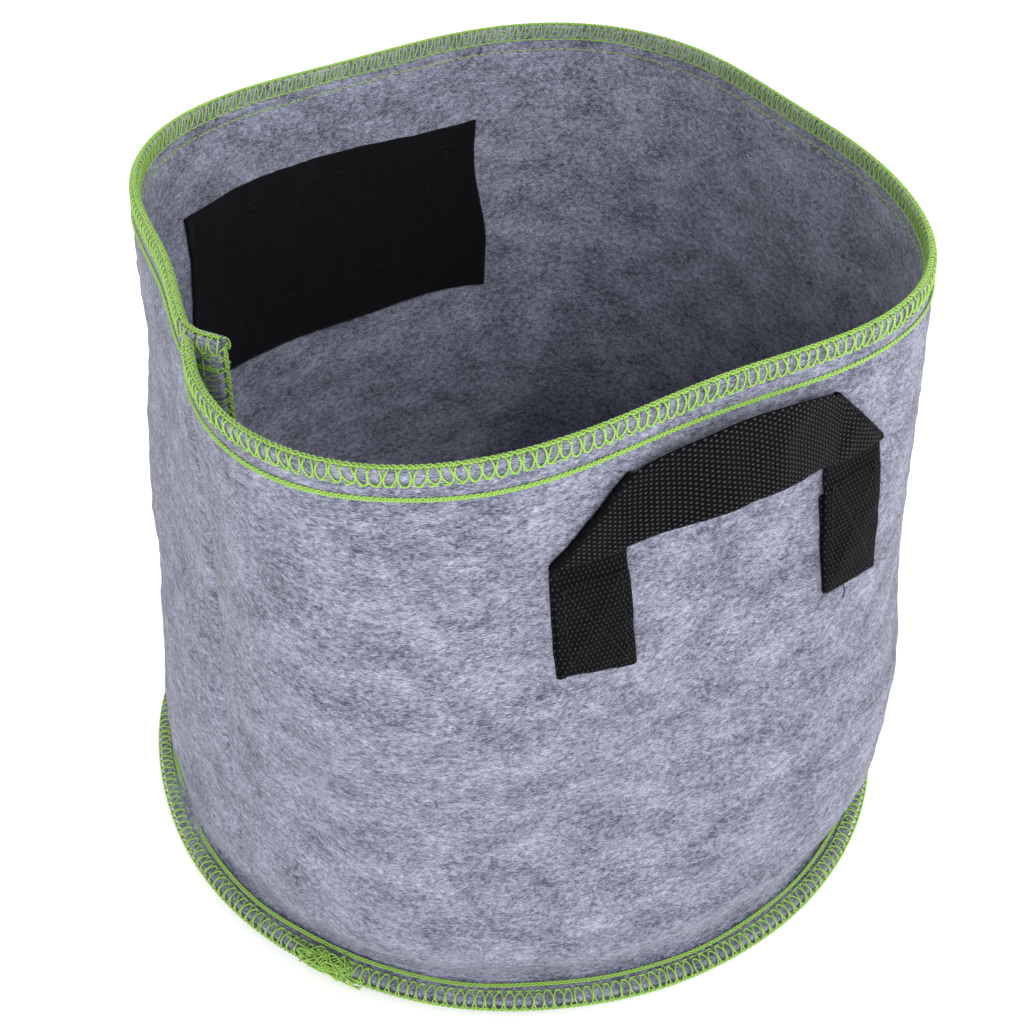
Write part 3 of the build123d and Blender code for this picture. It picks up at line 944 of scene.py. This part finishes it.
def strap_rows(handle, wall_y, seed):
    """The strap's middle surface: up the left end, over the fold, along the grip and down the right end."""
    draw = np.random.default_rng(seed)
    a = (np.arange(66) + 0.5) / 66 * WIDTH
    a = np.concatenate([[0, 0.12 * MM], a[1:-1], [WIDTH - 0.12 * MM, WIDTH]])
    left = -handle.half_span - WIDTH / 2
    under_y, leg_y, grip_y = WALL_GAP + WEB / 2, 0.2 * MM + WEB * 1.55, WALL_GAP + WEB * 1.56

    def end(flip):
        """One sewn end, from its hidden cut edge to just under the fold: 1 is the left one, -1 the right."""
        part = []
        skew = math.radians(draw.uniform(1.6, 2.6))
        turn_z = LEG_FOOT[flip] + FOOT_SLANT[flip] * (0.5 - a / WIDTH)
        tab = 2.6 * MM * bump(a, 2.4 * MM)
        tilt = (a - WIDTH / 2) * 0.02
        for share in np.linspace(1, 0, UNDER_ROWS + 1)[:-1]:
            z = turn_z + 38 * MM * share
            x = a + (z - turn_z) * math.tan(skew) - 0.9 * MM
            part.append((x, z + tilt - tab * (1 - smooth(share, 0, 0.3)), np.full_like(a, under_y)))
        for angle in np.linspace(-math.pi / 2, math.pi / 2, TURN_ROWS):
            y = (under_y + leg_y) / 2 + (leg_y - under_y) / 2 * math.sin(angle)
            below = (1 - math.sin(angle)) / 2
            z = turn_z - 0.7 * MM * math.cos(angle) + (tilt - tab) * below
            part.append((a - 0.9 * MM * below, z, np.full_like(a, y)))
        for share in np.linspace(0, 1, LEG_ROWS + 1)[1:]:
            z = turn_z + (FOLD_Z + a - 1.6 * MM - turn_z) * share
            settle = 1 - smooth(z, 196 * MM, 206 * MM)
            part.append((a, z, under_y + (leg_y - under_y) * settle))
        for x, z, y in part:
            place = (left + x) * flip + leaning(z)
            yield place, z, wall_y(place, z) + y

    def fold(flip):
        """Half turn over the slanting fold line, from the lower ply to the upper one."""
        for angle in np.linspace(-math.pi / 2, math.pi / 2, FOLD_ROWS + 2)[1:-1]:
            shift = 0.9 * MM * math.cos(angle) / math.sqrt(2)
            y = under_y + WEB * 1.06 * (1 + math.sin(angle)) / 2
            place, z = (left + a - shift) * flip, FOLD_Z + a + shift
            yield place, z, wall_y(place, z) + y

    def grip():
        """The free middle, which stands off the wall and rises a little between the folds."""
        start = left + a + 1.6 * MM
        for share in np.linspace(0, 1, 230):
            x = start * (1 - 2 * share)
            inward = np.clip(1 - np.abs(x) / (handle.half_span - WIDTH / 2 + 3 * MM), 0, 1)
            lift = 1 - (1 - inward) ** 2
            z = FOLD_Z + a + 7.5 * MM * lift
            tilt = 2.2 * MM * (1 - 2 * a / WIDTH)
            bow = (8 * MM + tilt) * (0.4 * lift + 0.6 * smooth(inward, 0, 0.8))
            yield x, z, wall_y(x, np.minimum(z, 244 * MM)) + grip_y + bow

    rows = [*end(1), *fold(1), *grip()]
    rows += list(fold(-1))[::-1] + list(end(-1))[::-1]
    x, z, y = (np.array([row[k] for row in rows]) for k in range(3))
    points = handle.world(x, y, z)
    length = np.zeros(x.shape)
    length[1:] = np.linalg.norm(np.diff(points, axis=0), axis=-1)
    along = np.cumsum(length, axis=0)
    along = along - along[len(rows) // 2]
    # The folds are pressed flat, so the weave stands out less on them.
    middle_of_fold = UNDER_ROWS + TURN_ROWS + LEG_ROWS + FOLD_ROWS // 2
    row = np.arange(len(rows))
    folds = bump(row - middle_of_fold, 9) + bump(len(rows) - 1 - row - middle_of_fold, 9)
    return points, np.broadcast_to(a, x.shape), along, 1 - np.clip(folds, 0, 1)


def make_strap(handle, wall_y, seed):
    points, across, along, relief = strap_rows(handle, wall_y, seed)
    normals = grid_normals(points)
    edge = np.minimum(across, WIDTH - across)
    thick = WEB * (0.45 + 0.55 * smooth(edge, 0, 0.9 * MM))
    thick[0] *= 0.7
    thick[-1] *= 0.7
    weave = np.sin(math.pi * across / END_PITCH) * np.sin(math.pi * along / PICK_PITCH)
    weave = np.maximum(weave, -0.3 * weave)
    thick = thick + 0.3 * MM * (weave - 0.3) * smooth(edge, 0.3 * MM, 1.0 * MM) * relief[:, None]
    uv = np.stack([across, along], axis=-1)
    name = f"{handle.side}_handle_strap"
    strap = mesh_object(name, *sheet_mesh(points, thick, uv, normals=normals), material=webbing)
    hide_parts(*(f"{handle.side}_handle_{p}" for p in ("left_end", "right_end", "grip")))
    bend_start, bend_end = handle.hinge - 2.5 * MM, handle.hinge + 4.5 * MM
    tuple(handle.world(0, 0, bend_start))
    tuple(handle.world(0, 0, bend_end))
    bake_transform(strap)


def stitch_line(handle, surface, points, height, pitch=2.6 * MM, slanting=False):
    """Dashes of thread along straight runs between points (x, z) on a face of the wall."""
    paths = []
    arch = np.sin(np.linspace(0, math.pi, 7)) ** 0.5
    for (x0, z0), (x1, z1) in zip(points[:-1], points[1:]):
        number = max(1, round(math.hypot(x1 - x0, z1 - z0) / pitch))
        for k in range(number):
            t = (k + np.linspace(0.06, 0.94, 7)) / number
            x, z = x0 + (x1 - x0) * t, z0 + (z1 - z0) * t
            x = x + (leaning(z) if slanting else 0)
            y = surface(x, z) + height + np.sign(height) * (0.3 * arch - 0.25) * MM
            paths.append(handle.world(x, y, z))
    return paths


def black_stitches(name, node, paths, radius=0.2 * MM, sides=5):
    thread_piece(name, node, paths, radius, sides, material=black)


def box_stitches(handle, outer, inner, place, flip):
    """A box with a cross in it, seen on the strap's end and again on the patch inside."""
    inset, top = 3 * MM, 200.5 * MM
    foot, slant = LEG_FOOT[-flip] + inset, 0.4 * FOOT_SLANT[-flip]
    x0 = handle.half_span * flip - WIDTH / 2 + inset
    x1 = x0 + WIDTH - 2 * inset
    outer_foot, inner_foot = (x0, foot + slant), (x1, foot - slant)
    box = [outer_foot, inner_foot, (x1, top), (x0, top), outer_foot, (x1, top)]
    paths = []
    for run in (box, [(x0, top), inner_foot]):
        paths += stitch_line(handle, outer, run, 0.2 * MM + WEB * 2.05, slanting=True)
        paths += stitch_line(handle, inner, run, INNER_STITCH, slanting=True)
    name = f"{handle.side}_handle_{place}"
    black_stitches(name + "_stitches", name + "_box_stitching", paths)


def make_patch(handle, inner, seed):
    """Thin cloth on the wall's inner face, with slightly wavy cut edges that lift here and there."""
    wide, low, high = 75 * MM, 132 * MM, 212 * MM
    centre = 2.5 * MM if handle.side == "rear" else 0.0
    xx, zz = np.meshgrid(np.linspace(-1, 1, 121), np.linspace(0, 1, 66))
    side_wave = 0.8 * MM * lumps(zz * 80 * MM, 0, 30 * MM, 5, seed)
    end_wave = 1.1 * MM * lumps(xx * wide, 0, 35 * MM, 5, seed + 1)
    x = centre + xx * wide + side_wave * np.abs(xx) ** 6 * np.sign(xx)
    z = low + (high - low) * zz + end_wave * (2 * zz - 1) ** 6 * np.sign(zz - 0.5)
    pucker = 0.12 * MM * lumps(x, z, 12 * MM, 9, seed + 2)
    edge = np.minimum(1 - np.abs(xx), 2 * np.minimum(zz, 1 - zz) * 0.53)
    lift = 0.35 * MM * (1 - smooth(edge, 0, 0.06)) * (0.5 + 0.5 * lumps(x, z, 20 * MM, 5, seed + 3))
    y = inner(x, z) - 0.62 * MM - np.abs(pucker) - np.maximum(lift, 0)
    thick = 0.9 * MM * (0.6 + 0.4 * smooth(edge, 0, 0.01))
    skin = sheet_mesh(handle.world(x, y, z), thick, np.stack([x, z], axis=-1))
    patch = mesh_object(f"{handle.side}_patch", *skin, material=nonwoven)
    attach(patch, "bag")
    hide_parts(f"{handle.side}_reinforcement_patch")
    tacks = []
    for end, z in ((wide - 10 * MM, high - 9 * MM), (wide - 12 * MM, low + 22 * MM)):
        tacks += stitch_line(handle, inner, [(centre - end, z), (centre + end, z)], INNER_STITCH, 3.2 * MM)
    black_stitches(f"{handle.side}_patch_tack_stitches", None, tacks)


def make_loose_end(handle, outer):
    """The thread end that hangs under the handle's right end."""
    t = np.linspace(0, 1, 26)
    x = handle.half_span + LEAN - 5.2 * MM + (4.2 * t + 0.9 * np.sin(5 * t)) * MM
    z = LEG_FOOT[-1] + (1.5 - 9.5 * t) * MM
    y = outer(x, z) + (0.5 + 1.6 * np.sin(math.pi * t) + 1.2 * t) * MM
    path = handle.world(x, y, z)
    black_stitches("front_handle_loose_thread", "front_handle_thread_tail", [path], 0.19 * MM, 6)


for joint, seed in zip(frame["joints"], (400, 500)):
    handle = Handle(joint)
    outer, inner = on_wall(handle), on_wall(handle, inside=True)
    make_strap(handle, outer, seed)
    make_patch(handle, inner, seed + 30)
    for place, flip in (("left", -1), ("right", 1)):
        box_stitches(handle, outer, inner, place, flip)
    if handle.side == "front":
        make_loose_end(handle, outer)

# The knot of green thread where the base seam starts and ends over itself.
STRANDS = 13
knots = []
for strand in range(STRANDS):
    t = np.linspace(0, 1, 60)
    centre = base_edge.length * 212.5 / 360 + (strand - STRANDS // 2) * 1.7 * MM
    s = centre + 3.2 * MM * lumps(t, 0, 0.2, 5, 600 + strand) + 1.5 * MM * np.sin(TAU * 3 * t)
    c = 2.6 * MM + 2.2 * MM * lumps(t, 0, 0.25, 5, 640 + strand)
    h = 1.1 * MM + 0.6 * MM * lumps(t, 0, 0.3, 4, 680 + strand)
    knots.append(base_edge.at(s, np.clip(c, -1 * MM, 7.5 * MM), np.clip(h, 0.3 * MM, 2.2 * MM)))
thread_piece("base_seam_thread_knot", None, knots, 0.27 * MM)

# ---------------------------------------------------------------------------- floor and light

floor = mesh_object(
    "floor",
    np.array([[-4, -4, 0], [4, -4, 0], [4, 4, 0], [-4, 4, 0]]) - np.array((0, 0, 0.05 * MM)),
    np.array([[0, 1, 2, 3]]),
    uv=np.array([[0, 0], [1, 0], [1, 1], [0, 1]]),
    material=floor_material(),
)
floor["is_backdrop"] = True


def aim(light, place, target):
    obj = bpy.data.objects.new(light.name, light)
    bpy.context.scene.collection.objects.link(obj)
    obj.location = place
    obj.rotation_euler = (Vector(target) - Vector(place)).to_track_quat("-Z", "Y").to_euler()


def area_light(name, place, target, size, power):
    light = bpy.data.lights.new(name, "AREA")
    light.shape = "RECTANGLE"
    light.size, light.size_y = size
    light.energy = power
    aim(light, place, target)


area_light("key", (-1.15, -1.75, 0.95), (0, 0, 0.12), (1.5, 1.1), 33)
area_light("fill", (1.9, -0.9, 0.8), (0, 0, 0.1), (1.4, 1.1), 19)
area_light("rear_light", (0.3, 1.9, 0.9), (0, 0, 0.1), (1.6, 0.8), 14)

# A narrow soft light reaches down inside the bag.
inner_light = bpy.data.lights.new("inner_light", "SPOT")
inner_light.energy = 48
inner_light.spot_size = math.radians(12)
inner_light.spot_blend = 1.0
inner_light.shadow_soft_size = 0.1
aim(inner_light, (0.25, -0.7, 1.1), (-0.035, 0.138, 0.09))

world = bpy.data.worlds.new("studio")
bpy.context.scene.world = world
world.use_nodes = True
background = world.node_tree.nodes["Background"]
background.inputs["Color"].default_value = (0.97, 0.98, 1.0, 1)
background.inputs["Strength"].default_value = 0.62

# ---------------------------------------------------------------------------- size and end

visual_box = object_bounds()
({name: [[float(x) for x in corner] for corner in box]
           for name, box in (("cad", cad_box), ("visual", visual_box))})
